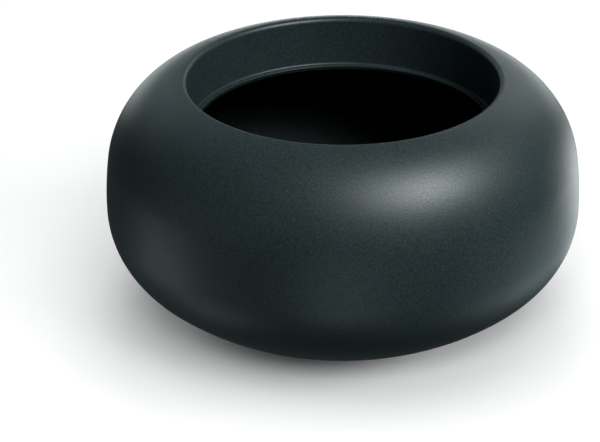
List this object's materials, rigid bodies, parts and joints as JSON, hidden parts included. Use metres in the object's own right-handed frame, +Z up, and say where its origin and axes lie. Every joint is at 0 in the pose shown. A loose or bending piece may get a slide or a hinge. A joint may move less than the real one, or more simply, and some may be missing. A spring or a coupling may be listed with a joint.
{
  "type": "planter bowl",
  "caption": "Squat round planter bowl with a bulging one-piece shell, a sunk inner collar with a ledge, a screw-in drain plug and rubber feet.",
  "frame": {"origin": "on the ground, at the middle of the bowl, in the plane of the undersides of the feet", "axes": "+Z up along the axis of the bowl, out of its opening; +X towards the first foot"},
  "size_m": [0.4999, 0.5, 0.2584],
  "materials": {
    "shell_plastic": "fine matte grain, anthracite, coloured through",
    "bush_brass": "turned, dull",
    "plug_plastic": "moulded, satin black",
    "seal_rubber": "smooth black rubber",
    "foot_rubber": "matte dark grey rubber"
  },
  "bodies": {
    "bowl": {"bowl_shell": "shell_plastic", "drain_bush": "bush_brass", "rubber_foot_1": "foot_rubber", "rubber_foot_2": "foot_rubber", "rubber_foot_3": "foot_rubber", "rubber_foot_4": "foot_rubber", "rubber_foot_5": "foot_rubber", "rubber_foot_6": "foot_rubber"},
    "seal_carrier": {"plug_seal": "seal_rubber"},
    "plug": {"drain_plug": "plug_plastic"}
  },
  "joints": [
    {"name": "plug_lift", "type": "slide", "parent": "bowl", "child": "seal_carrier", "axis": [0, 0, 1], "range_m": [0, 0.012]},
    {"name": "plug_turn", "type": "hinge", "parent": "seal_carrier", "child": "plug", "pos_m": [0, 0, 0.02], "axis": [0, 0, 1], "range_deg": [0, 1440]}
  ],
  "couplings": [
    {"joint": "plug_lift", "follows": "plug_turn", "m_per_rad": 0.00047746}
  ]
}
